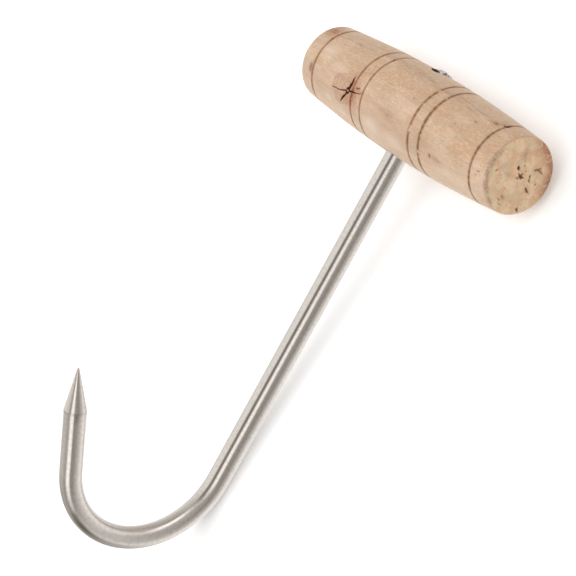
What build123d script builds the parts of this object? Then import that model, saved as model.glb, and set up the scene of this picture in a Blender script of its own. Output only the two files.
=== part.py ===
from build123d import *
import os
from math import asin, atan2, cos, degrees, hypot, radians, sin

# Meat T-hook: a turned wooden grip, drilled across its middle, on a round steel rod. The rod is
# peened over the grip at one end, bent round into a hook and ground to a point at the other.
# Lengths are in millimetres and angles in degrees.
#
# The pieces are drawn with the shank along +X, the grip along +Y and the hook opening to +Z, and
# with the axes of rod and grip crossing at the origin. Then they are tipped as the hook comes to
# rest: on the belly of the grip and the heel of the bend, with the point on top.

# Rod
ROD_DIAMETER = 8.0
SHANK_LENGTH = 144.8  # from the axis of the grip to the start of the bend
BEND_RADIUS = 31.2  # to the middle of the rod
BEND_ANGLE = 152.5
POINT_RUN = 22.9  # full rod between the bend and the ground point
POINT_LENGTH = 15.4
TIP_DIAMETER = 0.7  # the tip is a little blunt
SHOULDER_BLEND = 9.0  # radius that softens the edge where the grinding starts

# Peened end of the rod, at the crown of the grip
HEAD_DIAMETER = 8.9
HEAD_PROUD = 0.95  # height of the dome over the crown
HEAD_DOME = 0.4  # rise of the dome from its edge to its middle
HEAD_BEVEL = 0.3
HEAD_SINK = 1.2  # depth below the crown at which the rod starts to spread
HEAD_FLARE = 0.8  # length over which it spreads

# Grip: a barrel with a short straight land at its middle, where the hole is
GRIP_LENGTH = 115.1
GRIP_DIAMETER = 32.7
GRIP_LAND = 14.0
GRIP_CURVE_RADIUS = 626.0  # lengthwise curve of the barrel
GRIP_END_ROUND = 1.3
GRIP_SHIFT = 2.1  # the rod passes this far to one side of the grip's middle
GROOVE_OFFSETS = (15.0, 21.05, 48.75)  # from the middle of the grip, on both sides
GROOVE_WIDTH = 0.8
GROOVE_DEPTH = 0.45

rod_radius = ROD_DIAMETER / 2
grip_radius = GRIP_DIAMETER / 2
grip_half = GRIP_LENGTH / 2
land_half = GRIP_LAND / 2


def solid_of_revolution(half_section):
    """Turn a half section, drawn with its length along X, about the X axis."""
    return revolve(Plane.XZ * half_section, Axis.X)


def shank():
    """Straight rod from inside the grip to the start of the bend."""
    start = HEAD_SINK - grip_radius
    return Plane.YZ.offset(start) * extrude(Circle(rod_radius), SHANK_LENGTH - start)


def bend():
    """The rod turned about the centre of the hook."""
    section = Plane.YZ.offset(SHANK_LENGTH) * Circle(rod_radius)
    centre = Axis((SHANK_LENGTH, 0, BEND_RADIUS), (0, -1, 0))
    return revolve(section, centre, BEND_ANGLE)


def point():
    """The straight end of the rod and its ground point, set on the end of the bend."""
    tip = POINT_RUN + POINT_LENGTH
    shoulder = (POINT_RUN, rod_radius)
    outline = Polyline((0, 0), (0, rod_radius), shoulder, (tip, TIP_DIAMETER / 2), (tip, 0), (0, 0))
    section = make_face(outline)
    edge = section.vertices().sort_by_distance(shoulder)[0]
    turned = solid_of_revolution(fillet(edge, SHOULDER_BLEND))
    turn = radians(BEND_ANGLE)
    end_x = SHANK_LENGTH + BEND_RADIUS * sin(turn)
    end_z = BEND_RADIUS - BEND_RADIUS * cos(turn)
    return Location((end_x, 0, end_z), (0, -BEND_ANGLE, 0)) * turned


def head():
    """The spread and domed end of the rod, from where it starts to widen in the grip."""
    head_radius = HEAD_DIAMETER / 2
    dome_edge = head_radius - HEAD_BEVEL
    dome_radius = (dome_edge**2 + HEAD_DOME**2) / (2 * HEAD_DOME)
    dome_angle = degrees(asin(dome_edge / dome_radius))
    top = -grip_radius - HEAD_PROUD
    neck = HEAD_SINK - grip_radius
    bevel = top + HEAD_DOME
    dome = CenterArc((top + dome_radius, 0), dome_radius, 180, -dome_angle)
    rim = Polyline((bevel, dome_edge), (bevel + HEAD_BEVEL, head_radius), (neck - HEAD_FLARE, head_radius))
    inside = Polyline((neck - HEAD_FLARE, head_radius), (neck, rod_radius), (neck, 0), (top, 0))
    return solid_of_revolution(make_face(dome + rim + inside))


def barrel(distance):
    """Radius of the grip at a distance from its middle, outside the land."""
    return grip_radius - (distance**2 - land_half**2) / (2 * GRIP_CURVE_RADIUS)


def groove(distance):
    """Section of the tool that cuts a V groove at a distance from the middle of the grip."""
    root = (barrel(distance) - GROOVE_DEPTH, distance)
    above = barrel(distance) + GROOVE_DEPTH
    return make_face(
        Polyline(root, (above, distance - GROOVE_WIDTH), (above, distance + GROOVE_WIDTH), root)
    )


def half_grip_section():
    """Section of one end of the grip: radius along X, length along Y from the middle."""
    midway = (land_half + grip_half) / 2
    end = (barrel(grip_half), grip_half)
    side = ThreePointArc((grip_radius, land_half), (barrel(midway), midway), end)
    section = make_face(side + Polyline(end, (0, grip_half), (0, 0), (grip_radius, 0), side @ 0))
    rim = section.vertices().sort_by_distance(end)[0]
    section = fillet(rim, GRIP_END_ROUND)
    for distance in GROOVE_OFFSETS:
        section -= groove(distance)
    return section


def grip(rod):
    """The turned grip, with the hole and the seat that the rod and its head fill."""
    section = half_grip_section()
    turned = revolve(section + mirror(section, Plane.XZ), Axis.Y)
    return Pos(0, GRIP_SHIFT, 0) * turned - rod


def at_rest(*pieces):
    """Tip the pieces about the grip until the heel of the bend is as low as the grip's belly."""
    heel = asin((BEND_RADIUS + rod_radius - grip_radius) / hypot(SHANK_LENGTH, BEND_RADIUS))
    tilt = degrees(atan2(BEND_RADIUS, SHANK_LENGTH) - heel)
    tipped = [Rot(0, tilt, 0) * piece for piece in pieces]
    middle = Compound(tipped).bounding_box().center()
    return [Pos(-middle.X, -middle.Y, grip_radius) * piece for piece in tipped]


rod = head() + shank() + bend() + point()
hook, handle = at_rest(rod, grip(rod))
os.makedirs("parts", exist_ok=True)
for name, piece in (("hook", hook), ("handle", handle)):
    export_step(piece, f"parts/{name}.step")
    box = piece.bounding_box()
    print(name, "volume", round(piece.volume), "from", tuple(box.min), "to", tuple(box.max))
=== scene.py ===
# %% [markdown]
# # A meat hook with a turned wooden grip
# The real thing is one steel rod and one piece of wood. The rod is bent into a hook and ground to
# a point at one end. The other end goes through the middle of a turned grip and is hammered over.
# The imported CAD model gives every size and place, so it is loaded first and never changed.

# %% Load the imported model
from math import asin, atan2, cos, degrees, hypot, pi, radians, sin

import bmesh
import bpy
import numpy as np
from mathutils import Matrix, Vector


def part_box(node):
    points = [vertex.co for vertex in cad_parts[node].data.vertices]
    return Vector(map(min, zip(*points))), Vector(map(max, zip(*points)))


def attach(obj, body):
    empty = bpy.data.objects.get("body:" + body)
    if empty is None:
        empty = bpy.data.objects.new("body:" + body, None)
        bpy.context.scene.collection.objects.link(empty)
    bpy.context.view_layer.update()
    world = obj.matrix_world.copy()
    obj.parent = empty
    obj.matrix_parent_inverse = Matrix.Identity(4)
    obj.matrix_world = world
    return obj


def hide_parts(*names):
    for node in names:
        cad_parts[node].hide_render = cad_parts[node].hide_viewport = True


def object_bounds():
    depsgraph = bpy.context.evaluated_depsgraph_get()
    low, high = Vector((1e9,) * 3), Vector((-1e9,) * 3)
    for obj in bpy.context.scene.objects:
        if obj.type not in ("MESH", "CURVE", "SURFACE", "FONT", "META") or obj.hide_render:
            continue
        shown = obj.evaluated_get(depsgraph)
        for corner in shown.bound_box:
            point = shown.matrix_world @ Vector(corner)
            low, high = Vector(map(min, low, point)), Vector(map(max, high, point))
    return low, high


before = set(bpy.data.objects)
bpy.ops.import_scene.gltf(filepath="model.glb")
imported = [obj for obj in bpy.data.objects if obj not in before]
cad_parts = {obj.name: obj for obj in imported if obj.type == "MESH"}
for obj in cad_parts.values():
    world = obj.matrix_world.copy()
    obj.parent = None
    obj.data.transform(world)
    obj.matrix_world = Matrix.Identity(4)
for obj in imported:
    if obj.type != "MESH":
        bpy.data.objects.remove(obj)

MM = 0.001
cad_box = [list(corner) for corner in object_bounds()]
grip_low, grip_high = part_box("handle")
hook_low, hook_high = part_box("hook")
cad_mm = [round(v / MM, 2) for v in cad_box[0] + cad_box[1]]
print("CAD pieces", sorted(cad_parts), "box in mm", cad_mm)

# %% [markdown]
# ## Camera
# A long lens from about a metre away keeps the rod's sides nearly parallel, as a product shot does.
# The hook rests on its grip and on the back of its bend, point up, and the camera looks down on it.
# The camera is also rolled, so the rod runs down the picture and the grip crosses its upper corner.

# %% Camera
CAMERA_AZIMUTH = 184.696
CAMERA_ELEVATION = 40.083
CAMERA_ROLL = -60.52
CAMERA_DISTANCE = 955.7 * MM
CAMERA_LENS = 174.306
CAMERA_AIM = Vector((-8.38, -2.43, 23.93)) * MM


def new_object(name, data):
    made = bpy.data.objects.new(name, data)
    bpy.context.scene.collection.objects.link(made)
    return made


azimuth, elevation = radians(CAMERA_AZIMUTH), radians(CAMERA_ELEVATION)
level = cos(elevation)
towards_camera = Vector((sin(azimuth) * level, -cos(azimuth) * level, sin(elevation)))
camera_data = bpy.data.cameras.new("camera")
camera_data.lens = CAMERA_LENS
camera = new_object("camera", camera_data)
camera.location = CAMERA_AIM + towards_camera * CAMERA_DISTANCE
upright = (-towards_camera).to_track_quat("-Z", "Y").to_matrix()
camera.rotation_euler = (upright @ Matrix.Rotation(radians(CAMERA_ROLL), 3, "Z")).to_euler()
bpy.context.scene.camera = camera
bpy.context.scene.view_settings.view_transform = "Standard"
print("camera at", [round(v, 3) for v in camera.location])

# %% [markdown]
# ## Writing node trees as Python
# Shaders and Geometry Nodes are graphs, and two small classes build them from code: `Graph.node`
# makes any node, and `Value` wraps a socket so that ordinary arithmetic on it adds Math nodes.

# %% Node helpers
def operator(operation, swapped=False):
    """A method that adds one Math node. Swapped, the value itself comes last, as in 1 - value."""

    def method(self, *others):
        operands = (*others, self) if swapped else (self, *others)
        sockets = dict(enumerate(operands))
        return self.graph.node("ShaderNodeMath", {"operation": operation}, sockets)

    return method


class Value:
    """A socket's output. Arithmetic on it adds Math nodes to its graph."""

    def __init__(self, graph, socket):
        self.graph = graph
        self.socket = socket

    __add__ = operator("ADD")
    __radd__ = operator("ADD", swapped=True)
    __sub__ = operator("SUBTRACT")
    __rsub__ = operator("SUBTRACT", swapped=True)
    __mul__ = operator("MULTIPLY")
    __rmul__ = operator("MULTIPLY", swapped=True)
    __truediv__ = operator("DIVIDE")
    __rtruediv__ = operator("DIVIDE", swapped=True)
    __mod__ = operator("FLOORED_MODULO")
    __abs__ = operator("ABSOLUTE")
    smallest = operator("MINIMUM")
    largest = operator("MAXIMUM")
    sine = operator("SINE")
    cosine = operator("COSINE")
    arccosine = operator("ARCCOSINE")
    whole = operator("FLOOR")


class Graph:
    """A node tree that is filled from Python."""

    def __init__(self, tree):
        self.tree = tree

    def node(self, kind, settings=None, sockets=None, output=0):
        """Makes one node: its settings first, then its sockets' values or links. Returns one output."""
        made = self.tree.nodes.new(kind)
        for name, value in (settings or {}).items():
            if name == "stops":
                self.set_stops(made.color_ramp, value)
            else:
                setattr(made, name, value)
        for key, value in (sockets or {}).items():
            if isinstance(value, Value):
                self.tree.links.new(value.socket, made.inputs[key])
            else:
                made.inputs[key].default_value = value
        return Value(self, made.outputs[output]) if made.outputs else made

    def set_stops(self, ramp, stops):
        """Gives a ramp its stops, each a position and a shade of grey."""
        while len(ramp.elements) < len(stops):
            ramp.elements.new(1.0)
        for element, (position, shade) in zip(ramp.elements, stops):
            element.position = position
            element.color = (shade, shade, shade, 1)

    def step(self, value, start, end):
        """0 before start, 1 after end, and smooth between them. Start may be the larger."""
        low, high = sorted((start, end))
        first, last = (0.0, 1.0) if start < end else (1.0, 0.0)
        sockets = {"Value": value, "From Min": low, "From Max": high, "To Min": first, "To Max": last}
        return self.node("ShaderNodeMapRange", {"interpolation_type": "SMOOTHSTEP"}, sockets)

    def mix(self, factor, first, second):
        """Mixes two colours: the first at factor 0, the second at 1."""
        first, second = [c if isinstance(c, Value) else (*c, 1) for c in (first, second)]
        return self.node("ShaderNodeMix", {"data_type": "RGBA"}, {0: factor, 6: first, 7: second}, 2)

    def lay_over(self, colour, tones):
        """Lays tones over a colour, one on top of the other. Each tone is (how much, its colour)."""
        for amount, tone in tones:
            colour = self.mix(amount, colour, tone)
        return colour

    def stretch(self, vector, scale, location):
        return self.node("ShaderNodeMapping", {}, {"Vector": vector, "Scale": scale, "Location": location})

    def noise(self, vector, scale, detail, roughness, location=(0, 0, 0), output=0):
        """Noise that is finer along an axis where its scale is larger."""
        place = self.stretch(vector, scale, location)
        sockets = {"Vector": place, "Scale": 1.0, "Detail": detail, "Roughness": roughness}
        return self.node("ShaderNodeTexNoise", {}, sockets, output)

    def surface(self, shade, world=False):
        """Sends a shader to the output of the material, or of the world."""
        kind = "ShaderNodeOutputWorld" if world else "ShaderNodeOutputMaterial"
        self.node(kind, {}, {"Surface": shade})

    def mark(self, name):
        """A number that is stored on the mesh, point by point."""
        return self.node("ShaderNodeAttribute", {"attribute_name": name}, output="Fac")

    def along(self, vector, axis):
        """How far a vector reaches along an axis."""
        settings = {"operation": "DOT_PRODUCT"}
        return self.node("ShaderNodeVectorMath", settings, {0: vector, 1: axis}, "Value")


def new_material(name):
    """An empty node material, and the graph that fills it."""
    material = bpy.data.materials.new(name)
    material.use_nodes = True
    material.node_tree.nodes.clear()
    return material, Graph(material.node_tree)


print("node helpers ready")

# %% [markdown]
# ## Floor
# The hook lies on plain white paper. A wide disc does for the paper, and a tall, glowing ring far
# behind it closes the view when the camera comes down low. Only the camera sees the ring, so it
# changes neither the light nor the reflections.

# %% Floor and backdrop
FLOOR_RADIUS = 4.0
BACKDROP_HEIGHT = 6.0
RING_SIDES = 96
PAPER_GLOW = 0.14
paper, graph = new_material("white_paper")
paper_look = {
    "Base Color": (0.93, 0.93, 0.93, 1),
    "Roughness": 0.9,
    "Specular IOR Level": 0.1,
    "Emission Color": (1.0, 1.0, 1.0, 1),
    "Emission Strength": PAPER_GLOW,
}
paper_shade = graph.node("ShaderNodeBsdfPrincipled", {}, paper_look)
graph.surface(paper_shade)
glow, graph = new_material("backdrop_glow")
glow_shade = graph.node("ShaderNodeEmission", {}, {"Color": (0.94, 0.94, 0.94, 1)})
graph.surface(glow_shade)


def drum(name, radius, height):
    """A disc, or the wall that stands on its edge."""
    shape = bmesh.new()
    bmesh.ops.create_circle(shape, cap_ends=height == 0, segments=RING_SIDES, radius=radius)
    if height:
        raised = bmesh.ops.extrude_edge_only(shape, edges=shape.edges[:])["geom"]
        corners = [item for item in raised if isinstance(item, bmesh.types.BMVert)]
        bmesh.ops.translate(shape, verts=corners, vec=(0, 0, height))
    mesh = bpy.data.meshes.new(name)
    shape.to_mesh(mesh)
    shape.free()
    return new_object(name, mesh)


floor = drum("floor", FLOOR_RADIUS, 0)
floor.data.materials.append(paper)
backdrop = drum("backdrop", FLOOR_RADIUS, BACKDROP_HEIGHT)
backdrop.data.materials.append(glow)
backdrop.visible_diffuse = False
backdrop.visible_glossy = False
backdrop.visible_shadow = False
floor.visible_glossy = False
print("floor", FLOOR_RADIUS, "m in radius")

# %% [markdown]
# ## Light
# Polished metal shows what stands round it. The hook was lit in a white tent that is open towards
# the viewer, with a bright back and floor, dim sides, and a long lamp left and right of the opening.
# The world shader draws that tent by direction, layer over layer: walls, roof, opening, lamps, and
# last a card low at the far side and the darker end by the viewer. The paper floor is hidden from
# mirrors, as the tent has its own. A broad lamp overhead, which mirrors don't show either, brings
# the wood up to its tone, and the paper glows a little so that it stays white.

# %% Tent of light
PANEL_SOFTNESS = 0.45
OVERHEAD_SIZE = 2.6
OVERHEAD_WATTS = 21.0
OVERHEAD_PLACE = (0.3, -0.2, 1.5)
# place from the viewer's end of the tent (0) to its far end (1), and brightness there
WALL_STOPS = (
    (0, 0.34), (0.11, 0.46), (0.25, 0.49), (0.38, 0.94), (0.5, 0.22),
    (0.62, 0.44), (0.75, 0.49), (0.88, 1.13), (1, 1.22),
)
world = bpy.data.worlds.new("tent")
world.use_nodes = True
world.node_tree.nodes.clear()
bpy.context.scene.world = world
graph = Graph(world.node_tree)
look = graph.node("ShaderNodeTexCoord", output="Object")
look_right = graph.along(look, (1, 0, 0))
look_front = graph.along(look, (0, 1, 0))
look_up = graph.along(look, (0, 0, 1))


def panel(centre, long_axis, half_length, half_width):
    """A soft-edged oblong light at a great distance: 1 inside it and 0 outside."""
    centre = Vector(centre).normalized()
    along = Vector(long_axis)
    along = (along - centre * along.dot(centre)).normalized()
    across = centre.cross(along)
    sideways = abs(graph.along(look, along))
    upwards = abs(graph.along(look, across))
    front = graph.step(graph.along(look, centre), 0.0, 0.2)
    outer, inner = 1 + PANEL_SOFTNESS, 1 - PANEL_SOFTNESS
    length = graph.step(sideways, half_length * outer, half_length * inner)
    width = graph.step(upwards, half_width * outer, half_width * inner)
    return front * length * width


turn = look_front.arccosine() / pi
walls = graph.node("ShaderNodeValToRGB", {"stops": WALL_STOPS}, {"Fac": turn})
tent = walls - look_right * 0.18
over_back = graph.step(look_up, -2.65, 0.05) * graph.step(abs(look_right - 0.23), 1.25, -0.1)
over_back = over_back * graph.step(look_front, 0.38, -0.04)
below = graph.step(look_up, -0.05, -1.7)
roof_gap = panel((0.14, 0.21, 0.955), (1, 0, 0), 0.425, 0.30)
side_gap = panel((0.93, 0.02, -0.69), (0, 1, 0), 0.41, 0.37)
left_lamp = panel((-0.92, 0.43, 0.49), (0.375, 0, 1), 0.376, 0.175)
right_lamp = panel((0.58, 0.60, 0.56), (1, -0.16, -0.6), 0.58, 0.25)
far_side = panel((0.69, -0.58, -0.38), (0, 0, 1), 0.54, 0.30)
# each layer's shape and brightness, from the lowest to the topmost
layers = (
    (over_back, 1.11),
    (roof_gap, 0.25),
    (side_gap, -0.07),
    (below, 1.38 + 0.68 * look_right.largest(0.0)),
    (right_lamp, 1.45),
    (left_lamp, 1.65),
    (far_side, 0.52),
)
for where, level in layers:
    tent = tent + where * (level - tent)
darker_end = 1 - 0.15 * graph.step(look_front, -0.76, -1.0)
tent = (tent * darker_end).largest(0.02)
WARM_SHADE = (1.04, 1.0, 0.95)
WHITE = (1.0, 1.0, 1.0)
glow_colour = graph.mix(graph.step(tent, 0.15, 0.9), WARM_SHADE, WHITE)
background = graph.node("ShaderNodeBackground", {}, {"Color": glow_colour, "Strength": tent})
graph.surface(background, world=True)

overhead_data = bpy.data.lights.new("overhead", "AREA")
overhead_data.shape = "DISK"
overhead_data.size = OVERHEAD_SIZE
overhead_data.energy = OVERHEAD_WATTS
overhead = new_object("overhead", overhead_data)
overhead.location = OVERHEAD_PLACE
overhead.rotation_euler = (-overhead.location).to_track_quat("-Z", "Y").to_euler()
overhead.visible_glossy = False
overhead.visible_camera = False
print("tent has", len(world.node_tree.nodes), "nodes")

# %% [markdown]
# ## One way to make both pieces
# A lathe turns a half section about an axis, and a bar bender rolls the result round a former. One
# Geometry Nodes tree does both. It reads a drawn half section, where X is the distance along the
# bar and Y the radius, turns it into a skin, and bends that skin after a straight length. The
# columns can be crowded towards one side, where small detail needs them.

# %% The turning and bending tree
WELD_DISTANCE = 0.002 * MM
# what a piece is when nothing else is asked for: straight, with evenly spaced columns
PLAIN = dict(straight_length=1.0, bend_radius=1.0, bend_angle=0.0, crowding=0.0, crowded_side=0.0)


def turn_and_bend_tree():
    """Builds the Geometry Nodes tree once, for every piece."""
    tree = bpy.data.node_groups.new("turn_and_bend", "GeometryNodeTree")
    face = tree.interface
    face.new_socket("Geometry", in_out="OUTPUT", socket_type="NodeSocketGeometry")
    face.new_socket("Half Section", in_out="INPUT", socket_type="NodeSocketGeometry")
    inputs = {"columns": "Int", "finish": "Material"} | {name: "Float" for name in PLAIN}
    for name, kind in inputs.items():
        title = name.replace("_", " ").title()
        face.new_socket(title, in_out="INPUT", socket_type="NodeSocket" + kind)
    graph = Graph(tree)
    entry = tree.nodes.new("NodeGroupInput")
    given = {socket.name: Value(graph, socket) for socket in entry.outputs if socket.name}

    counted = {"Geometry": given["Half Section"]}
    rows = graph.node("GeometryNodeAttributeDomainSize", {"component": "MESH"}, counted, "Point Count")
    sheet_sockets = {"Vertices X": given["Columns"] + 1, "Vertices Y": rows}
    sheet = graph.node("GeometryNodeMeshGrid", {}, sheet_sockets, "Mesh")
    index = graph.node("GeometryNodeInputIndex")
    row = index % rows
    column = (index / rows).whole()
    place = graph.node("GeometryNodeInputPosition")
    lookup = {"Geometry": given["Half Section"], "Value": place, "Index": row}
    drawn = graph.node("GeometryNodeSampleIndex", {"data_type": "FLOAT_VECTOR", "domain": "POINT"}, lookup)
    station = graph.along(drawn, (1, 0, 0))
    radius = graph.along(drawn, (0, 1, 0))

    straight, bend_radius = given["Straight Length"], given["Bend Radius"]
    round_angle = column / given["Columns"] * (2 * pi)
    round_angle = round_angle - given["Crowding"] * round_angle.sine() + given["Crowded Side"]
    inward = radius * round_angle.cosine()
    sideways = radius * round_angle.sine()
    beyond = (station - straight).largest(0.0)
    bent = (beyond / bend_radius).smallest(given["Bend Angle"])
    after = (beyond - bend_radius * given["Bend Angle"]).largest(0.0)
    to_centre = bend_radius - inward
    x = station.smallest(straight) + to_centre * bent.sine() + after * bent.cosine()
    y = bend_radius - to_centre * bent.cosine() + after * bent.sine()
    skin = graph.node("ShaderNodeCombineXYZ", {}, {0: x, 1: y, 2: sideways})
    unbent = graph.node("ShaderNodeCombineXYZ", {}, {0: station, 1: inward, 2: sideways})
    keep = {"data_type": "FLOAT_VECTOR", "domain": "POINT"}
    stored = {"Geometry": sheet, "Name": "straightened", "Value": unbent}
    shaped = graph.node("GeometryNodeStoreNamedAttribute", keep, stored)
    steps = (
        ("SetPosition", {"Position": skin}),
        ("MergeByDistance", {"Distance": WELD_DISTANCE}),
        ("SetShadeSmooth", {"Shade Smooth": True}),
        ("RealizeInstances", {}),
        ("SetMaterial", {"Material": given["Finish"]}),
    )
    for kind, sockets in steps:
        shaped = graph.node("GeometryNode" + kind, {}, {"Geometry": shaped} | sockets)
    graph.node("NodeGroupOutput", {}, {"Geometry": shaped})
    return tree


turn_and_bend = turn_and_bend_tree()


def turned(name, half_section, placing, **asked):
    """Runs the tree on a half section of (distance, radius) points in mm. Returns a plain mesh object."""
    sizes = PLAIN | asked
    points = [(distance * MM, radius * MM, 0) for distance, radius in half_section]
    drawn = bpy.data.meshes.new(name + "_section")
    drawn.from_pydata(points, [(i, i + 1) for i in range(len(points) - 1)], [])
    drawn.materials.append(sizes["finish"])
    source = new_object(name + "_section", drawn)
    modifier = source.modifiers.new("turn", "NODES")
    modifier.node_group = turn_and_bend
    for item in turn_and_bend.interface.items_tree:
        key = item.name.lower().replace(" ", "_")
        if item.in_out == "INPUT" and key in sizes:
            modifier[item.identifier] = sizes[key]
    ready = source.evaluated_get(bpy.context.evaluated_depsgraph_get())
    mesh = bpy.data.meshes.new_from_object(ready)
    bpy.data.objects.remove(source)
    mesh.name = name
    mesh.transform(placing)
    shape = bmesh.new()
    shape.from_mesh(mesh)
    bmesh.ops.recalc_face_normals(shape, faces=shape.faces)
    shape.to_mesh(mesh)
    shape.free()
    return new_object(name, mesh)


def spread(*spans):
    """Places along a line from (start, end, step) spans, each divided evenly, with no place twice."""
    places = []
    for start, end, step in spans:
        count = max(1, round(abs(end - start) / step))
        places += [start + (end - start) * i / count for i in range(count)]
    return places + [spans[-1][1]]


def rounded(place, radius, size, angles):
    """The rounded rim of an end that is at a place. A negative size makes the end face forwards."""
    turns = [radians(angle) for angle in spread(angles)]
    return [(place + size * (1 - cos(a)), radius + abs(size) * sin(a)) for a in turns]


print("tree has", len(turn_and_bend.nodes), "nodes")

# %% [markdown]
# ## Steel rod
# The hook is 8 mm stainless bar, and its sizes are the CAD's. It starts with the hammered head,
# runs straight for most of its length, goes round the bend, and ends in a ground point. The half
# section carries the head, the soft shoulder of the grinding and the slightly blunt tip.

# %% Sizes of the rod, in mm
GRIP_RADIUS = (grip_high.z - grip_low.z) / 2 / MM
ROD_RADIUS = 4.0
SHANK_LENGTH = 144.8
BEND_RADIUS = 31.2
BEND_ANGLE = radians(152.5)
POINT_RUN = 22.9
POINT_LENGTH = 15.4
TIP_RADIUS = 0.35
SHOULDER_BLEND = 0.8
HEAD_RADIUS = 3.95
HEAD_TOP = -GRIP_RADIUS - 0.95
HEAD_DOME = 0.4
HEAD_BEVEL = 0.3
HEAD_NECK = 1.2 - GRIP_RADIUS
HEAD_FLARE = 0.8
# how far the rod passes from the middle of the grip's length
ROD_SHIFT = 2.1
ROD_COLUMNS = 96

bend_end = SHANK_LENGTH + BEND_RADIUS * BEND_ANGLE
shoulder = bend_end + POINT_RUN
tip = shoulder + POINT_LENGTH


def ground_point():
    """Radius of the rod round its ground end: full, a soft shoulder, the taper, and a rounded tip."""
    slope = atan2(ROD_RADIUS - TIP_RADIUS, POINT_LENGTH)
    reach = SHOULDER_BLEND * sin(slope / 2) / cos(slope / 2)
    nose = TIP_RADIUS * 0.9
    points = []
    start, end = shoulder - reach, shoulder + reach
    for place in spread((shoulder - 8, start - 0.1, 1.0), (start, end, 0.08)):
        turned_by = max(0.0, place - start) / SHOULDER_BLEND
        points.append((place, ROD_RADIUS - SHOULDER_BLEND * (1 - cos(min(turned_by, slope)))))
    for place in spread((end + 0.3, tip - nose, 0.35)):
        points.append((place, ROD_RADIUS - (place - shoulder) * sin(slope) / cos(slope)))
    last = points[-1][1]
    for a in [radians(angle) for angle in spread((15, 90, 15))]:
        points.append((tip - nose + nose * sin(a), last * cos(a)))
    points[-1] = (tip, 0.0)
    return points


def rod_section():
    """The rod's whole half section, from the middle of the head to the tip."""
    dome_edge = HEAD_RADIUS - HEAD_BEVEL
    dome_radius = (dome_edge**2 + HEAD_DOME**2) / (2 * HEAD_DOME)
    points = []
    for reach in spread((0, dome_edge - 0.1, 0.16)):
        points.append((HEAD_TOP + dome_radius - (dome_radius**2 - reach**2) ** 0.5, reach))
    points += rounded(HEAD_TOP + HEAD_DOME, dome_edge, HEAD_BEVEL, (20, 90, 14))
    wall = spread((HEAD_TOP + HEAD_DOME + HEAD_BEVEL + 0.15, HEAD_NECK - HEAD_FLARE, 0.15))
    points += [(place, HEAD_RADIUS) for place in wall]
    bar = spread((HEAD_NECK + 0.5, SHANK_LENGTH - 2, 1.2), (SHANK_LENGTH - 2, bend_end + 2, 0.8))
    bar += spread((bend_end + 3, shoulder - 9, 1.0))
    return points + [(place, ROD_RADIUS) for place in [HEAD_NECK] + bar] + ground_point()


heel = asin((BEND_RADIUS + ROD_RADIUS - GRIP_RADIUS) / hypot(SHANK_LENGTH, BEND_RADIUS))
tilt = atan2(BEND_RADIUS, SHANK_LENGTH) - heel
grip_middle = (grip_low + grip_high) / 2
crossing = Vector((grip_middle.x, grip_middle.y - ROD_SHIFT * MM, grip_middle.z))
rod_axes = Matrix(((cos(tilt), sin(tilt), 0), (0, 0, -1), (-sin(tilt), cos(tilt), 0)))
rod_placing = Matrix.Translation(crossing) @ rod_axes.to_4x4()

steel, steel_graph = new_material("satin_steel")
bend = {"straight_length": SHANK_LENGTH * MM, "bend_radius": BEND_RADIUS * MM, "bend_angle": BEND_ANGLE}
hook = turned("meat_hook_rod", rod_section(), rod_placing, columns=ROD_COLUMNS, finish=steel, **bend)
hook_size = [[round(f(v.co[i] for v in hook.data.vertices) / MM, 2) for i in range(3)] for f in (min, max)]
print("rod", len(hook.data.polygons), "faces, from", hook_size[0], "to", hook_size[1])
print("CAD hook from", [round(v / MM, 2) for v in hook_low], "to", [round(v / MM, 2) for v in hook_high])

# %% [markdown]
# ## Turned grip
# The grip is a barrel with a short straight land at its middle, six thin burnt grooves and softly
# rounded ends. The half section goes from the centre of one end to the centre of the other. Its
# points lie close together at the grooves and round the knot, where the surface is carved later.

# %% Sizes of the grip, in mm
GRIP_HALF = (grip_high.y - grip_low.y) / 2 / MM
LAND_HALF = 7.0
GRIP_CURVE_RADIUS = 626.0
END_ROUND = 1.3
GROOVES = (15.0, 21.05, 48.75)
GROOVE_WIDTH = 0.8
GROOVE_DEPTH = 0.36
# the knot's distance from the grip's middle, and its angle from the top in degrees
KNOT = (-23.9, 22.4)
GRIP_COLUMNS = 200


def barrel(distance):
    """Radius of the plain barrel at a distance from the grip's middle."""
    past = np.maximum(abs(distance), LAND_HALF)
    return GRIP_RADIUS - (past**2 - LAND_HALF**2) / (2 * GRIP_CURVE_RADIUS)


def grooved(distance):
    """Radius of the barrel with its turned grooves."""
    depth = 0.0
    for offset in GROOVES:
        away = abs(abs(distance) - offset) / (GROOVE_WIDTH / 2)
        if away < 1.25:
            depth = max(depth, GROOVE_DEPTH * (0.5 + 0.5 * cos(pi * away / 1.25)))
    return barrel(distance) - depth


def side_places():
    """Distances along the grip's side, from one rounded end to the other."""
    edge = GRIP_HALF - END_ROUND
    middles = [-g for g in reversed(GROOVES)] + list(GROOVES)
    zones = ((-edge, -37, 0.6), (-37, -30, 0.3), (-30, -13, 0.25), (-13, edge, 0.6))
    spans = []
    place = -edge
    for start, end in [(middle - 0.7, middle + 0.7) for middle in middles]:
        for low, high, step in zones:
            if max(low, place) < min(high, start) - 0.01:
                spans.append((max(low, place), min(high, start), step))
        spans.append((start, end, 0.1))
        place = end
    return spread(*spans, (place, edge, 0.6))


def grip_section():
    """The grip's whole half section, from the far end to the near end."""
    rim = barrel(GRIP_HALF) - END_ROUND
    points = [(-GRIP_HALF, radius) for radius in spread((0, rim, 0.8))]
    points += rounded(-GRIP_HALF, rim, END_ROUND, (15, 80, 13))
    points += [(place, grooved(place)) for place in side_places()]
    points += rounded(GRIP_HALF, rim, -END_ROUND, (80, 15, 13))
    return points + [(GRIP_HALF, radius) for radius in reversed(spread((0, rim, 0.3)))]


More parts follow.
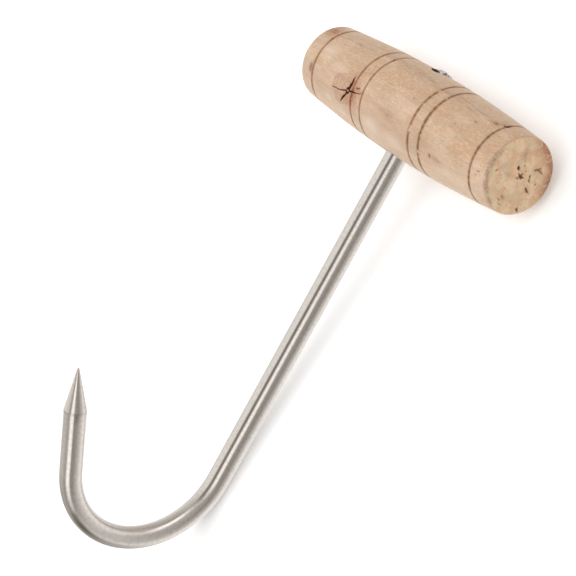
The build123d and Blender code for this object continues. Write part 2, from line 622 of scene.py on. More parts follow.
wood, wood_graph = new_material("raw_wood")
grip_axes = Matrix(((0, 0, 1), (1, 0, 0), (0, 1, 0)))
grip_placing = Matrix.Translation(grip_middle) @ grip_axes.to_4x4()
section = grip_section()
towards_knot = {"crowding": 0.6, "crowded_side": radians(KNOT[1])}
grip = turned("turned_grip", section, grip_placing, columns=GRIP_COLUMNS, finish=wood, **towards_knot)
print("grip", len(section), "rows and", len(grip.data.polygons), "faces")

# %% [markdown]
# ## The hole through the grip
# The rod fills a drilled hole, and its hammered head sits in a seat at the crown. A Boolean cuts
# both with a slightly fatter rod, turned by the same tree, so a thin dark line of clearance shows.

# %% Drill the grip
HOLE_CLEARANCE = 0.04
seat_radius, hole_radius = HEAD_RADIUS + HOLE_CLEARANCE, ROD_RADIUS + HOLE_CLEARANCE
start, end = HEAD_TOP - 1.0, GRIP_RADIUS + 2.0
seat = ((start, 0.0), (start, seat_radius), (HEAD_NECK - HEAD_FLARE, seat_radius))
bore = seat + ((HEAD_NECK, hole_radius), (end, hole_radius), (end, 0.0))
drill = turned("drill", bore, rod_placing, columns=ROD_COLUMNS, finish=wood)
cut = grip.modifiers.new("hole", "BOOLEAN")
cut.operation = "DIFFERENCE"
cut.solver = "EXACT"
cut.object = drill
drilled = bpy.data.meshes.new_from_object(grip.evaluated_get(bpy.context.evaluated_depsgraph_get()))
grip.modifiers.clear()
bpy.data.objects.remove(drill)
grip.data = drilled
grip.data.set_sharp_from_angle(angle=radians(50))
grip.data.materials.clear()
grip.data.materials.append(wood)
grip.data.polygons.foreach_set("material_index", [0] * len(grip.data.polygons))
print("drilled grip", len(grip.data.polygons), "faces")

# %% [markdown]
# ## Carving the wood
# A knot with two drying cracks crosses one pair of grooves. The grooves have torn places, the near
# end has pits, and the wood is bruised round the head. Each mark is placed on the unrolled grip,
# as its distance from the middle in mm and its angle from the top. The carving pushes points
# inwards, and stores how near each point is to a mark, so the finish can colour the same places.

# %% Unroll the grip
ARC = pi / 180 * GRIP_RADIUS  # mm round the grip for each degree
WAVES = 7
NOWHERE = 2.0  # the distance that is stored where no mark is near


def mesh_points(mesh, name="co"):
    values = np.empty(len(mesh.vertices) * 3)
    mesh.vertices.foreach_get(name, values)
    return values.reshape(-1, 3)


def move_points(piece, places, origin):
    """Gives a piece's points new places, in mm from an origin."""
    moved = (places * MM + np.array(origin)).astype(np.float32)
    piece.data.vertices.foreach_set("co", moved.ravel())


def store_marks(piece, **marks):
    """Stores one number for each point under each mark's name."""
    for name, values in marks.items():
        layer = piece.data.attributes.new(name, "FLOAT", "POINT")
        layer.data.foreach_set("value", values.astype(np.float32))
    piece.data.update()


points = (mesh_points(grip.data) - np.array(grip_middle)) / MM
normals = mesh_points(grip.data, "normal")
across, length, height = points.T
reach = np.hypot(across, height)
angle = np.degrees(np.arctan2(across, height))
arc = angle * ARC
full = barrel(length)
on_side = np.clip((reach / full - 0.9) / 0.03, 0, 1) * (abs(length) < GRIP_HALF - 0.5)
on_near_end = length > GRIP_HALF - 0.4
print("points on the near end", int(on_near_end.sum()))


def ripple(a, b, seed):
    """Smooth unevenness between about -1 and 1, made of a few waves."""
    dice = np.random.default_rng(seed)
    total = np.zeros_like(a)
    for _ in range(WAVES):
        heading = dice.uniform(0, 2 * pi)
        pitch = dice.uniform(0.6, 2.2)
        total += np.sin(pitch * (a * cos(heading) + b * sin(heading)) + dice.uniform(0, 2 * pi))
    return total / WAVES**0.5 / 1.4


def path_distance(a, b, path):
    """Distance to a path of short straight runs, and how far along the path, from 0 to 1."""
    path = np.array(path, float)
    steps = np.hypot(*np.diff(path, axis=0).T)
    ends = np.concatenate(([0.0], np.cumsum(steps))) / steps.sum()
    nearest = np.full_like(a, 1e9)
    fraction = np.zeros_like(a)
    for i in range(len(steps)):
        run = path[i + 1] - path[i]
        t = np.clip(((a - path[i, 0]) * run[0] + (b - path[i, 1]) * run[1]) / steps[i] ** 2, 0, 1)
        away = np.hypot(a - path[i, 0] - t * run[0], b - path[i, 1] - t * run[1])
        closer = away < nearest
        nearest[closer] = away[closer]
        fraction[closer] = (ends[i] + t * (ends[i + 1] - ends[i]))[closer]
    return nearest, fraction


def smooth(value, start, end):
    """0 before start, 1 after end, and smooth between them."""
    t = np.clip((value - start) / (end - start), 0, 1)
    return t * t * (3 - 2 * t)


def bell(value, middle, width):
    """1 at the middle, and about 0.4 a width away from it."""
    return np.exp(-(((value - middle) / width) ** 2))


def patch(a, b, centre, size, turned_by=0.0):
    """A soft oval: 1 at its centre, about 0.4 at its edge."""
    t = radians(turned_by)
    u = (a - centre[0]) * cos(t) + (b - centre[1]) * sin(t)
    v = (b - centre[1]) * cos(t) - (a - centre[0]) * sin(t)
    return np.exp(-((u / size[0]) ** 2) - (v / size[1]) ** 2)


# %% Cracks of the knot
CRACK_DEPTH = 1.3
HEART_RADIUS = 1.0
HEART_CORE = 0.5  # the middle of the heart is whole again
KNOT_STAIN = (-26.2, 21.5)
KNOT_STAIN_SIZE = (7.4, 6.3)
# each crack's path, and its half widths from one end to the other
WIDE_CRACK = (
    ((-22.8, 2.5), (-22.7, 7), (-22.9, 12), (-23.3, 17), (-23.9, 22.5), (-25, 29.5))
    + ((-26.4, 34), (-27.8, 41.5)),
    (0.14, 0.44, 0.56, 0.6, 0.54, 0.26, 0.34, 0.32, 0.06),
)
THIN_CRACK = (
    ((-34.2, 29), (-31.5, 28), (-28.6, 27.2), (-25.8, 24.3), (-23.9, 22.5), (-21.8, 21))
    + ((-19.4, 19.8), (-15.9, 17)),
    (0.02, 0.09, 0.08, 0.13, 0.24, 0.17, 0.08, 0.02),
)


def unrolled(path):
    """Turns a path's angles into distances round the grip."""
    return [(place, turn * ARC) for place, turn in path]


wobble = ripple(length * 2.2, arc * 2.2, 3) * 0.12
crack_gap = np.full_like(length, NOWHERE)
for path, half_widths in (WIDE_CRACK, THIN_CRACK):
    away, fraction = path_distance(length + wobble, arc - wobble, unrolled(path))
    width = np.interp(fraction, np.linspace(0, 1, len(half_widths)), half_widths)
    width = width * (1 + 0.25 * ripple(length * 2.5, arc * 2.5, 4))
    crack_gap = np.minimum(crack_gap, away - width)
heart = np.hypot(length - KNOT[0], arc - KNOT[1] * ARC)
crack_gap = np.minimum(crack_gap, heart + ripple(length * 3, arc * 3, 5) * 0.25 - HEART_RADIUS)
crack_gap = np.maximum(crack_gap, HEART_CORE - heart)
crack_gap = np.where(on_side > 0, crack_gap, NOWHERE)
crack_depth = CRACK_DEPTH * smooth(-crack_gap, -0.08, 0.30)
from_stain = (length - KNOT_STAIN[0], arc - KNOT_STAIN[1] * ARC)
knot_reach = np.hypot(from_stain[0] / KNOT_STAIN_SIZE[0], from_stain[1] / KNOT_STAIN_SIZE[1])
knot_reach = knot_reach + 0.12 * ripple(length / 2.4, arc / 2.4, 8)
knot_reach = knot_reach + 0.05 * ripple(length * 1.5, arc * 1.5, 6)
knot_reach = np.where(on_side > 0, knot_reach, 3.0)
knot_swell = 0.10 * smooth(-knot_reach, -1.0, -0.55) * (0.5 + 0.5 * ripple(length * 1.2, arc * 1.2, 9))
print("deepest crack", round(float(crack_depth.max()), 2), "mm")

# %% Burnt grooves and their torn places
# distance and angle of each torn place, and its reach along and across in mm
CHIPS = (
    (14.9, -38.5, 0.9, 1), (15.2, -13, 0.7, 0.5), (15.1, 21.5, 0.65, 1.7), (21.3, 22, 0.4, 0.5),
    (20.7, -35, 0.5, 0.5), (21, 43.7, 0.6, 0.7),
)
# distance of each groove's middle, half the width of its burnt line, and how dark it is
BURNT_LINES = (
    (-48.75, 1.15, 0.85), (-21.05, 1.0, 0.85), (-15, 0.95, 0.75), (15, 1.1, 0.95),
    (21.05, 1.15, 1.05), (48.75, 0.95, 1.05),
)
groove_away = np.min([abs(abs(length) - offset) for offset in GROOVES], axis=0)
burn = np.zeros_like(length)
for place, half_width, depth in BURNT_LINES:
    away = abs(length - place) + 0.07 * ripple(length * 0.3, arc * 1.2, 11)
    patchy = 0.87 + 0.2 * ripple(length * 0.2, arc * 0.6 + place, 13)
    patchy = patchy + 0.30 * ripple(length * 0.2, arc * 1.7 + place, 42)
    burn = np.maximum(burn, depth * patchy * (1 - smooth(away, 0.1, half_width)))
torn = np.zeros_like(length)
for place, turn, long, wide in CHIPS:
    torn = np.maximum(torn, patch(length, arc, (place, turn * ARC), (long, wide)))
torn = smooth(torn + 0.25 * ripple(length * 3, arc * 3, 12), 0.35, 0.8) * on_side
burn = burn * on_side * (1 - 0.7 * torn)
groove_fill = torn * 0.6 * np.maximum(full - reach, 0)
chip_depth = 0.16 * torn * (1 + ripple(length * 4, arc * 4, 14)) * smooth(groove_away, 0.15, 0.5)
print("torn places", len(CHIPS))

# %% Pits and nicks on the near end and the side
# a path on the end's face in mm, half the mark's width and its depth
END_MARKS = (
    (((-2.2, 2.8), (-1.9, 2.3)), 0.4, 0.8), (((-0.6, 1.4), (-0.5, 1.2)), 0.15, 0.15),
    (((0.9, 1.6), (1.1, 1.3)), 0.13, 0.12), (((-2.6, -0.6), (-2.5, -0.8)), 0.13, 0.12),
    (((-1, -0.1), (-0.3, 0), (0.2, 0.2)), 0.24, 0.35),
    (((-0.2, 0.4), (0.1, -0.2), (-0.1, -0.8)), 0.42, 0.45), (((0.6, 0.7), (1, 0.6)), 0.2, 0.25),
    (((-2, -3.4), (-1.3, -3.9), (-0.6, -4), (-0.2, -4.6)), 0.17, 0.3),
    (((2.3, -4.8), (2.6, -5.5), (3, -6.3)), 0.26, 0.6),
    (((-4.3, -4), (-5.2, -4.8), (-5.8, -5.8)), 0.18, 0.4),
    (((-4.8, -4.9), (-5, -6), (-4.7, -7.3)), 0.15, 0.4), (((-0.7, -7.5), (-0.5, -7.4)), 0.22, 0.35),
    (((9.3, -6.3), (9.9, -6.9)), 0.34, 0.5), (((2.2, 10.3), (2.5, 10.6)), 0.16, 0.12),
    (((8.4, 2.5), (8.8, 1.5)), 0.1, 0.1), (((9.9, 3.4), (10.1, 2.4)), 0.1, 0.1),
    (((11, 1.8), (11.2, 1)), 0.1, 0.1), (((-4, 1.2), (-3.6, 0.6)), 0.1, 0.1),
)
# the same on the side, where a path gives distances and angles
SIDE_MARKS = (
    (((47.9, -51.5), (48.7, -53.2), (48.9, -57)), 0.5, 0.4),
    (((44.6, -46.5), (45.9, -45.5)), 0.22, 0.12), (((27.7, 38), (27.9, 40.5)), 0.28, 0.32),
    (((52.2, 25.2), (53.6, 24.2)), 0.12, 0.12), (((51.5, 31), (52.4, 30.4)), 0.1, 0.1),
    (((38.8, -30), (39.9, -28.8)), 0.13, 0.1), (((33, -13), (33.5, -12.6)), 0.12, 0.1),
    (((9.2, -13), (9.9, -12.4)), 0.11, 0.1),
    (((-19.5, 13.8), (-18.4, 13.2), (-17.7, 11.8)), 0.24, 0.15),
    (((-15.4, -47), (-14.9, -41)), 0.16, 0.1),
)
pit_gap = np.full_like(length, NOWHERE)
pit_depth = np.zeros_like(length)
on_each = (
    (END_MARKS, across, height, on_near_end, 1.0),
    (SIDE_MARKS, length, arc, on_side > 0, ARC),
)
for marks, a, b, covered, b_unit in on_each:
    for path, half_width, depth in marks:
        away, _ = path_distance(a, b, [(one, other * b_unit) for one, other in path])
        ragged = half_width * 0.55 * ripple(a * 3.5, b * 3.5, 15)
        gap = np.where(covered, away - half_width + ragged, NOWHERE)
        pit_gap = np.minimum(pit_gap, gap)
        pit_depth = np.maximum(pit_depth, depth * smooth(-gap, -0.1, 0.22))
print("pits and nicks", len(END_MARKS) + len(SIDE_MARKS))

# %% Stains, and a band of painted shade on the near rim
# distance, angle, reach along and across in mm, strength, and a slant in degrees for some
SIDE_STAINS = (
    (45, -45.7, 1.9, 1, 1, 10), (48.3, -52.6, 1.2, 0.9, 1), (-55.2, -42.5, 2.4, 1.7, 1),
    (-50.2, 23.5, 1.2, 2, 1.5), (27.9, 39.5, 1, 0.8, 0.6), (31, 40.5, 3.2, 1.3, 0.45, 15),
    (30.6, 45.5, 1.2, 0.7, 0.3, 60), (1.9, 23, 2.6, 1.1, 0.35, 5), (-3.5, 20.5, 4, 0.8, 0.22, 5),
    (-18.2, 14.2, 1.2, 0.8, 0.7, 20), (39.4, -29.4, 0.9, 0.4, 0.4, 10),
)
RED_STAINS = (
    (-21, 25.5, 1.4, 5, 1.1), (-21.8, 13.5, 1.3, 3.2, 0.8), (-19.4, 25, 2.4, 5, 0.65),
    (-18.8, 10, 2.2, 3.4, 0.55), (-24, 33, 2.2, 2.8, 0.6), (-16.6, 20, 2.2, 2.4, 0.5),
    (-11.8, 17, 2.4, 2, 0.22), (-52.5, -41.5, 3.8, 2.8, 0.95), (-54.5, -52, 2.6, 3, 0.5),
    (-50.5, -20, 1, 5, 0.15), (46, -57, 2, 1.2, 0.3, 30), (2, 22, 4.5, 1.7, 0.2, 5),
    (53, -12, 1.5, 3, 0.16),
)
PALE_PATCHES = (
    (-8, 48, 5.5, 3.4, 0.6), (-34, 2, 5, 2, 0.35), (-36.5, 48, 2, 1.6, 0.5), (6, 50, 6, 2.6, 0.45),
    (-43, -8, 4, 5, 0.3), (-28, 58, 6, 2.5, 0.35), (38, 52, 6, 2, 0.3),
)
# darker bands along the side, listed like the stains above
DARKER_BANDS = (
    (6, 36, 34, 6, 1), (-42, 37, 17, 5.5, 0.75), (-55, -54, 3.5, 7, 1), (14, -52, 40, 2.6, 0.35),
    (-55, 76, 3.5, 4, 0.7),
)
# strength and path of each dark growth line
GROWTH_LINES = (
    (0.6, ((-50, -38), (-40, -39), (-24, -43), (-16, -50), (-4, -52.5))),
    (0.6, ((-4, -52.5), (6, -49), (14, -41), (21, -50), (36, -47), (44, -46))),
    (0.55, ((-20, -45.5), (-4, -47.5), (8, -45), (14, -42), (24, -43), (38, -40))),
    (0.45, ((-12, -40.5), (2, -41.5), (14, -39))),
    (0.4, ((-46, -46), (-34, -50), (-22, -52))),
    (2, ((41.5, -43), (44.6, -45.6), (46.6, -49.2), (48.8, -53.4))),
)


def side_patches(listed):
    """The strongest of the listed patches at each point of the side."""
    total = np.zeros_like(length)
    for place, turn, long, wide, strength, *slant in listed:
        spot = strength * patch(length, arc, (place, turn * ARC), (long, wide), *slant)
        total = np.maximum(total, spot)
    return total * on_side


stain = side_patches(SIDE_STAINS)
for strength, path in GROWTH_LINES:
    away, _ = path_distance(length, arc + 0.3 * ripple(length / 3, arc / 3, 17), unrolled(path))
    line = bell(away, 0, 0.45) * (0.6 + 0.4 * ripple(length / 2, arc, 18))
    stain = np.maximum(stain, strength * line * on_side)
pale = side_patches(PALE_PATCHES)
handled = side_patches(DARKER_BANDS)
rim_reach = reach + 0.25 * ripple(across, height, 23)
on_near_rim = smooth(length, GRIP_HALF - 1.9, GRIP_HALF - 1.2)
# painted shade: a grey band on one part of the near end's rounded rim stands for that rim's shading
rim_shade_arc = smooth(angle, -36, -8) * smooth(-angle, -82, -66)
grey = 0.85 * bell(rim_reach, 13.35, 0.55) * rim_shade_arc * on_near_rim
# the same on the end's face, with the two places in mm
GREY_ON_END = (
    (-7.2, 3.3, 2.4, 1.2, 0.6, -20), (0.6, 8.6, 1.5, 2.2, 0.4), (1.6, 5.4, 0.9, 1.8, 0.4),
    (8.8, 1.8, 1.8, 1.6, 0.35),
)
for place_a, place_b, long, wide, strength, *slant in GREY_ON_END:
    spot = strength * patch(across, height, (place_a, place_b), (long, wide), *slant)
    grey = np.maximum(grey, spot * on_near_end)
rust_arc = np.where(angle < 0, smooth(-angle, 68, 100), smooth(angle, 160, 180))
rust = smooth(rim_reach + 0.7 * ripple(across / 1.2, height / 1.2, 24), 8.0, 13.2) * rust_arc
rust = np.maximum(0.8 * rust * on_near_rim, side_patches(RED_STAINS))
print("stains", len(SIDE_STAINS) + len(RED_STAINS) + len(PALE_PATCHES) + len(GREY_ON_END))

# %% Bruised wood at the hole, and painted shade in it
rod_line = np.array(rod_axes.col[0])
rod_side = np.array(rod_axes.col[1])


def leaning(places):
    """How far places lie towards the side of the head that took more blows, in mm."""
    return 0.766 * (places @ rod_side) - 0.643 * places[:, 1]


from_crossing = points + np.array((0, ROD_SHIFT, 0))
down_rod = from_crossing @ rod_line
from_rod = np.linalg.norm(from_crossing - down_rod[:, None] * rod_line, axis=1)
round_rod = np.degrees(np.arctan2(from_crossing[:, 1], from_crossing @ rod_side))
at_head = smooth(-down_rod, 8, 12)
at_exit = smooth(down_rod, 8, 12)
ragged = ripple(round_rod / 9, round_rod * 0, 19)
bruise = at_head * 0.10 * bell(from_rod, 4.6, 0.75 + 0.3 * ragged) * (0.6 + 0.4 * ragged)
seat_lean = leaning(from_crossing)
not_far_side = smooth(-seat_lean, -3.7, -3.3)
seat_gap = at_head * smooth(seat_lean, 0.6, 1.8) * bell(from_rod, 3.95, 0.35) * not_far_side
splinter = at_exit * 0.3 * bell(from_rod, 4.0, 0.5) * np.maximum(ragged, 0)
hole_depth = np.maximum(bruise, 0) + 0.45 * seat_gap + splinter
# painted shade: the wood is darkened in the head's seat, more on one side and fully where the seat gapes,
# and in a ring where the rod leaves the grip
seat_shade_side = 0.35 + 0.65 * smooth(-from_crossing[:, 1], -1.0, 2.5)
grime = at_head * seat_shade_side * bell(from_rod, 3.95, 0.3) * not_far_side
grime = np.maximum(grime, smooth(seat_gap, 0.45, 0.9))
grime = grime + 0.6 * at_exit * bell(from_rod, 4.0, 0.6)
print("deepest bruise", round(float(hole_depth.max()), 2), "mm")

# %% Carve
uneven = 0.025 * (1 + ripple(length / 5, arc / 3, 21)) + 0.012 * (1 + ripple(length * 0.5, arc * 2.5, 22))
push_in = crack_depth + pit_depth + chip_depth + hole_depth + np.maximum(knot_swell, 0)
push_in = push_in + uneven - groove_fill
push_in = np.where(reach < 0.05, np.minimum(push_in, 0.05), push_in)
move_points(grip, points - normals * push_in[:, None], grip_middle)
store_marks(grip, crack_gap=crack_gap, knot_reach=knot_reach, burn=burn, torn=torn, pit_gap=pit_gap)
store_marks(grip, stain=stain, rust_stain=rust, grey_stain=grey, pale=pale, handled=handled, grime=grime)
print("carved", int((push_in > 0.1).sum()), "points by more than 0.1 mm")

# %% [markdown]
# ## Hammered head
# The end of the rod was hammered over the grip, which leaves overlapping flats and an uneven rim.
# So the points of the neat turned dome are pushed in by that unevenness, and further on the side
# that took more blows, where a lap opened. Soot and grease stay on the side of the head and in its
# low places, and the head's wall is darker still as painted shade where it sits down in its seat,
# so the cell also works out how dark each point is.

# %% Hammer the head
points = (mesh_points(hook.data) - np.array(crossing)) / MM
down_rod = points @ rod_line
side_a = points[:, 1]
side_b = points @ rod_side
away = np.hypot(side_a, side_b)
on_head = smooth(-down_rod, 15.2, 16.2)
# each flat's two places across the rod, and its depth
FLATS = ((1.9, 1.2, 0.30), (-1.6, 2.0, 0.24), (0.4, -2.3, 0.34), (-2.8, -1.2, 0.26), (2.9, -1.8, 0.22))
flat_depth = np.zeros_like(away)
for flat_a, flat_b, depth in FLATS:
    close = np.hypot(side_a - flat_a, side_b - flat_b)
    flat_depth = np.maximum(flat_depth, depth * (1 - smooth(close, 0.6, 2.4)))
rim_wear = 0.16 * (0.5 + 0.5 * ripple(np.arctan2(side_a, side_b) * 2, side_a * 0, 31))
rim_wear = rim_wear * smooth(away, 3.2, 4.3)
lean = leaning(points)
sunk = 0.04 + 0.5 * smooth(lean, 0.2, 3.6) + 1.1 * smooth(lean, 3.15, 3.6)
new_down = down_rod + on_head * (flat_depth + sunk)
shrink = 1 - on_head * rim_wear / np.maximum(away, 0.1)
moved = rod_line * new_down[:, None] + (points - rod_line * down_rod[:, None]) * shrink[:, None]
move_points(hook, moved, crossing)
below_top = down_rod - HEAD_TOP
# soot and painted shade: the head's wall is dark below a level that changes round the head, where the wall
# sits down in its seat
wall_dark_places = (-4.1, -2.0, -1.6, -0.6, 0.0, 0.8, 1.2, 1.8, 2.3)
wall_dark_edge = np.interp(lean, wall_dark_places, (1.3, 1.25, 0.85, 0.9, 1.0, 0.95, 0.75, 0.4, -0.3))
wall_dark_edge = wall_dark_edge + 0.10 * ripple(lean * 1.5, side_a * 0, 33)
on_wall = smooth(away, 3.3, 3.8)
soot = on_head * on_wall * smooth(below_top, wall_dark_edge, wall_dark_edge + 0.25)
notch = on_head * smooth(away, 0.8, 1.6) * bell(lean, -1.25, 0.32) * 0.9
smut = on_head * (0.10 + 0.45 * smooth(ripple(side_a * 2.6, side_b * 2.6, 37), 0.2, 0.8))
print("hammered", int((on_head > 0.5).sum()), "points")

# %% [markdown]
# ## Small marks on the bar
# The bar has a few dark specks, a thin line of painted shade where the ground point begins, and one
# scuffed place in the bend. Each is placed on the straightened bar, as its distance in mm and its
# angle round it.

# %% Small marks on the bar
# distance, angle, reach along and across in mm, and strength
BAR_MARKS = (
    (212.6, 133, 1.5, 0.8, 0.55), (209.5, 138, 1.8, 0.5, 0.35), (249.2, 108, 1.4, 0.9, 0.4),
    (107.8, 6, 1.2, 0.2, 0.25),
)
SCUFF = (181.6, 27.0)
SCUFF_SIZE = (6.5, 1.4)
laid_out = np.empty(len(hook.data.vertices) * 3)
hook.data.attributes["straightened"].data.foreach_get("vector", laid_out)
along_bar, inward, sideways = laid_out.reshape(-1, 3).T / MM
mm_per_degree = radians(1) * ROD_RADIUS
bar_turn = np.degrees(np.arctan2(-sideways, inward)) % 360
bar_arc = bar_turn * mm_per_degree
soot = np.maximum(np.maximum(soot, notch), smut)
for place, turn, long, wide, strength in BAR_MARKS:
    spot = strength * patch(along_bar, bar_arc, (place, turn * mm_per_degree), (long, wide))
    soot = np.maximum(soot, spot * (0.7 + 0.3 * ripple(along_bar * 2, bar_arc * 2, 35)))
# painted shade: a thin dark line round the bar at the crease where the point's taper begins
shoulder_shade_line = 0.28 + 0.16 * ripple(bar_turn / 20, along_bar * 0, 36)
soot = np.maximum(soot, shoulder_shade_line * bell(along_bar, shoulder, 0.14))
rubbed = patch(along_bar, bar_arc, (SCUFF[0], SCUFF[1] * mm_per_degree), SCUFF_SIZE)
store_marks(hook, soot=soot, rubbed=rubbed)
print("marks on the bar", len(BAR_MARKS))

# %% [markdown]
# ## Satin steel
# The bar was ground between wheels, so its fine scratches run round it. The pattern follows the bar
# through its bend, so it reads the straightened place that the tree stored. Scratches and specks
# show in the roughness, in a very faint bump and as slightly darker steel. The stored soot and shade
# is a dull dark shader laid over the metal: soot, grease and specks, and painted shade on the head's
# wall in its seat and in a thin line at the point's shoulder. The scuffed place is rougher, which
# blurs what it mirrors.

# %% Steel finish
g = steel_graph
straight = g.node("ShaderNodeAttribute", {"attribute_name": "straightened"}, output="Vector")
scratches = g.noise(straight, (7000, 260, 260), 3.0, 0.6)
speckle = g.noise(straight, (900, 750, 750), 3.0, 0.65)
clouds = g.noise(straight, (110, 180, 180), 3.0, 0.55)
rough = 0.115 + scratches * 0.06 + clouds * 0.05 + g.step(speckle, 0.5, 0.75) * 0.05
rough = rough + g.mark("rubbed") * 0.24
tint = g.mix(clouds, (0.655, 0.605, 0.555), (0.7, 0.645, 0.6))
steel_tones = (
    (g.step(speckle, 0.42, 0.66) * 0.36, (0.5, 0.462, 0.41)),
    (g.step(scratches, 0.52, 0.72) * 0.18, (0.54, 0.495, 0.45)),
)
tint = g.lay_over(tint, steel_tones)
ground = {"Strength": 0.36, "Distance": 0.000004, "Height": scratches + speckle * 0.7}
relief = g.node("ShaderNodeBump", {}, ground)
steel_look = {"Base Color": tint, "Metallic": 1.0, "Roughness": rough, "Normal": relief}
steel_shade = g.node("ShaderNodeBsdfPrincipled", {}, steel_look)
# a dull dark shader for soot, grease and specks, and for painted shade on the head's wall and at the
# point's shoulder
soot_and_shade_look = {"Color": (0.022, 0.011, 0.005, 1), "Roughness": 1.0}
soot_and_shade_shader = g.node("ShaderNodeBsdfDiffuse", {}, soot_and_shade_look)
soot_and_shade_mix = {0: g.mark("soot") * 0.97, 1: steel_shade, 2: soot_and_shade_shader}
g.surface(g.node("ShaderNodeMixShader", {}, soot_and_shade_mix))
print("steel has", len(steel.node_tree.nodes), "nodes")

# %% [markdown]
# ## Raw wood
# The grip is bare, sanded wood: tan, with short darker pores along the grain and pale and greyish
# clouds. Wood is a solid, so its pattern is worked out in space and shows end grain on the ends by
# itself. The stored marks then add the knot, the cracks, the burnt grooves and the stains.

# %% Wood grain
g = wood_graph
object_place = g.node("ShaderNodeTexCoord", output="Object")
middle_mm = tuple(-v / MM for v in grip_middle)
place = g.stretch(object_place, (1 / MM,) * 3, middle_mm)
drift = g.noise(place, (0.09, 0.05, 0.09), 2.0, 0.5, output="Color")
swept = {0: drift, 1: (3.0, 3.0, 3.0), 2: place}
drift = g.node("ShaderNodeVectorMath", {"operation": "MULTIPLY_ADD"}, swept)
fibres = g.noise(drift, (2.2, 0.16, 2.2), 4.0, 0.62)
pores = g.noise(drift, (2.6, 0.75, 2.6), 2.0, 0.5)
pores = g.step(pores, 0.58, 0.7)
flecks = g.noise(drift, (1.9, 0.55, 1.9), 3.0, 0.66, (7, 3, 1))
clouds = g.noise(place, (0.12, 0.055, 0.12), 3.0, 0.55)
smudges = g.noise(place, (0.34, 0.17, 0.34), 3.0, 0.6, (5, 0, 9))
blush = g.noise(place, (0.22, 0.12, 0.22), 3.0, 0.6, (2, 8, 4))
bands = g.noise(drift, (0.55, 0.035, 0.55), 2.0, 0.55, (4, 0, 6))
across = g.along(place, (1 / 16, 0, 0))
lengthways = g.along(place, (0, 1 / 57, 0))
print("grain nodes", len(wood.node_tree.nodes))

# %% Wood colours
browner = g.step(clouds - across * 0.2 + lengthways * 0.04, 0.38, 0.62)
colour = g.mix(browner, (0.575, 0.412, 0.285), (0.48, 0.3, 0.172))
# how strongly each tone covers what lies below it, and its colour
wood_tones = (
    (g.step(blush, 0.48, 0.68) * 0.4, (0.545, 0.34, 0.235)),
    (g.step(flecks, 0.46, 0.62) * 0.44, (0.665, 0.5, 0.37)),
    (g.step(fibres, 0.48, 0.7) * 0.36, (0.415, 0.25, 0.148)),
    (g.step(bands, 0.46, 0.62) * 0.26, (0.4, 0.245, 0.15)),
    (pores * 0.42, (0.3, 0.17, 0.098)),
    (g.step(smudges, 0.48, 0.66) * 0.38, (0.425, 0.335, 0.238)),
    (g.mark("handled") * 0.46, (0.31, 0.195, 0.12)),
    (g.mark("pale"), (0.64, 0.51, 0.41)),
)
colour = g.lay_over(colour, wood_tones)

# %% Wood colours at the ends
end_face = g.step(abs(lengthways), 0.995, 1.003)
end_clouds = g.noise(place, (0.3, 0.3, 0.3), 4.0, 0.62, (1, 1, 5))
end_specks = g.noise(place, (1.1, 1.1, 1.1), 4.0, 0.68, (3, 2, 8))
end_colour = g.mix(g.step(end_clouds, 0.38, 0.6), (0.66, 0.475, 0.305), (0.56, 0.345, 0.195))
end_tones = (
    (g.step(end_specks, 0.5, 0.68) * 0.55, (0.38, 0.215, 0.115)),
    (g.step(blush, 0.46, 0.62) * 0.5, (0.48, 0.39, 0.235)),
)
end_colour = g.lay_over(end_colour, end_tones)
colour = g.mix(end_face * 0.85, colour, end_colour)

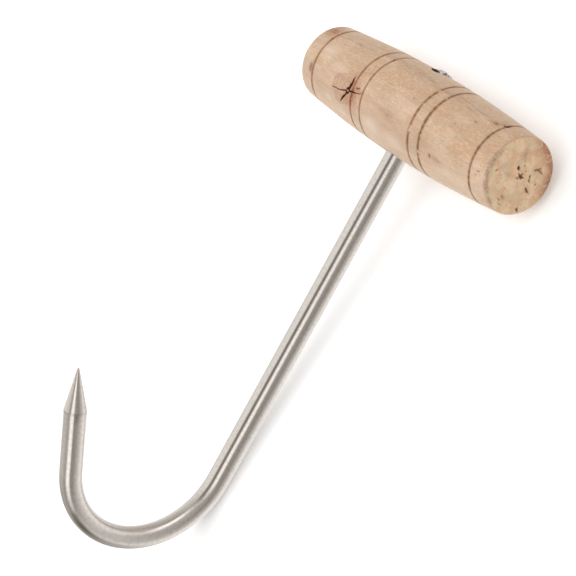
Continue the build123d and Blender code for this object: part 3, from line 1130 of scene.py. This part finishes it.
# %% Wood colours at the marks
knot = g.mark("knot_reach")
fine = g.noise(place, (0.9, 0.9, 0.9), 4.0, 0.65)
rings = (knot * 34).sine() * g.step(knot, 0.45, 0.8)
halo = g.step(knot, 1.18, 0.72)
outline = g.step(knot, 0.8, 0.95) * g.step(knot, 1.1, 0.97)
burn_mark, rust_mark = g.mark("burn"), g.mark("rust_stain")
pit_gap, crack_gap = g.mark("pit_gap"), g.mark("crack_gap")
deep_rust = g.step(rust_mark, 0.5, 1.0) * g.step(fine, 0.3, 0.6) * 0.7
mark_tones = (
    (halo * (0.05 + 0.95 * fine + 0.2 * rings), (0.365, 0.2, 0.12)),
    (outline * g.step(fine, 0.4, 0.65) * 0.45, (0.3, 0.15, 0.095)),
    (g.step(burn_mark, 0.02, 0.5) * 0.72, (0.305, 0.158, 0.078)),
    (g.step(burn_mark, 0.5, 1.05) * 0.66, (0.17, 0.066, 0.024)),
    (g.mark("torn") * 0.35, (0.64, 0.51, 0.39)),
    (g.mark("stain") * g.step(fine, 0.2, 0.6), (0.235, 0.118, 0.062)),
    # a band of painted shade on the near rim, and grey stains on the end's face
    (g.mark("grey_stain") * g.step(fine, 0.22, 0.66), (0.215, 0.155, 0.12)),
    (rust_mark * g.step(fine, 0.2, 0.6), (0.345, 0.115, 0.047)),
    (deep_rust, (0.15, 0.046, 0.021)),
    # the brown round each pit is stain; the dark pit cores and the brown and near black in the cracks are
    # painted shade in those hollows
    (g.step(pit_gap, 0.45, 0.0) * (0.2 + 0.9 * fine), (0.3, 0.14, 0.07)),
    (g.step(pit_gap, 0.1, -0.22) * 0.8, (0.185, 0.068, 0.024)),
    (g.step(crack_gap, 0.26, 0.03) * 0.7, (0.15, 0.058, 0.024)),
    (g.step(crack_gap, 0.09, -0.05), (0.03, 0.013, 0.006)),
    # painted shade in the head's seat and round the rod where it leaves the grip
    (g.mark("grime") * 0.85, (0.035, 0.024, 0.017)),
)
colour = g.lay_over(colour, mark_tones)
wood_height = fibres * 0.6 - pores * 0.5 + flecks * 0.3
wood_relief = g.node("ShaderNodeBump", {}, {"Strength": 0.5, "Distance": 0.00006, "Height": wood_height})
wood_look = {
    "Base Color": colour,
    "Roughness": 0.62 + 0.2 * fibres,
    "Sheen Weight": 0.24,
    "Sheen Roughness": 0.45,
    "Sheen Tint": (1.0, 0.92, 0.82, 1),
    "Normal": wood_relief,
}
wood_shade = g.node("ShaderNodeBsdfPrincipled", {}, wood_look)
# painted shade: in the cracks and pit cores a dark, dull diffuse shader stands in for the shade inside
# those hollows
hollow = g.step(crack_gap, 0.17, -0.02).largest(g.step(pit_gap, 0.1, -0.15) * 0.5)
hollow_shade = g.node("ShaderNodeBsdfDiffuse", {}, {"Color": (0.095, 0.029, 0.009, 1), "Roughness": 1.0})
g.surface(g.node("ShaderNodeMixShader", {}, {0: hollow, 1: wood_shade, 2: hollow_shade}))
print("wood has", len(wood.node_tree.nodes), "nodes")

# %% [markdown]
# ## Hand over
# Each piece rides on the one CAD body, and the CAD node it stands for is hidden.
# Further up, the rod's box is printed beside the CAD hook's box.

# %% Hand over
for piece, node, slot in ((hook, "hook", "steel"), (grip, "handle", "wood")):
    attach(piece, "root")
    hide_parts(node)
    piece.data.calc_loop_triangles()
    print(piece.name, len(piece.data.loop_triangles), "triangles")
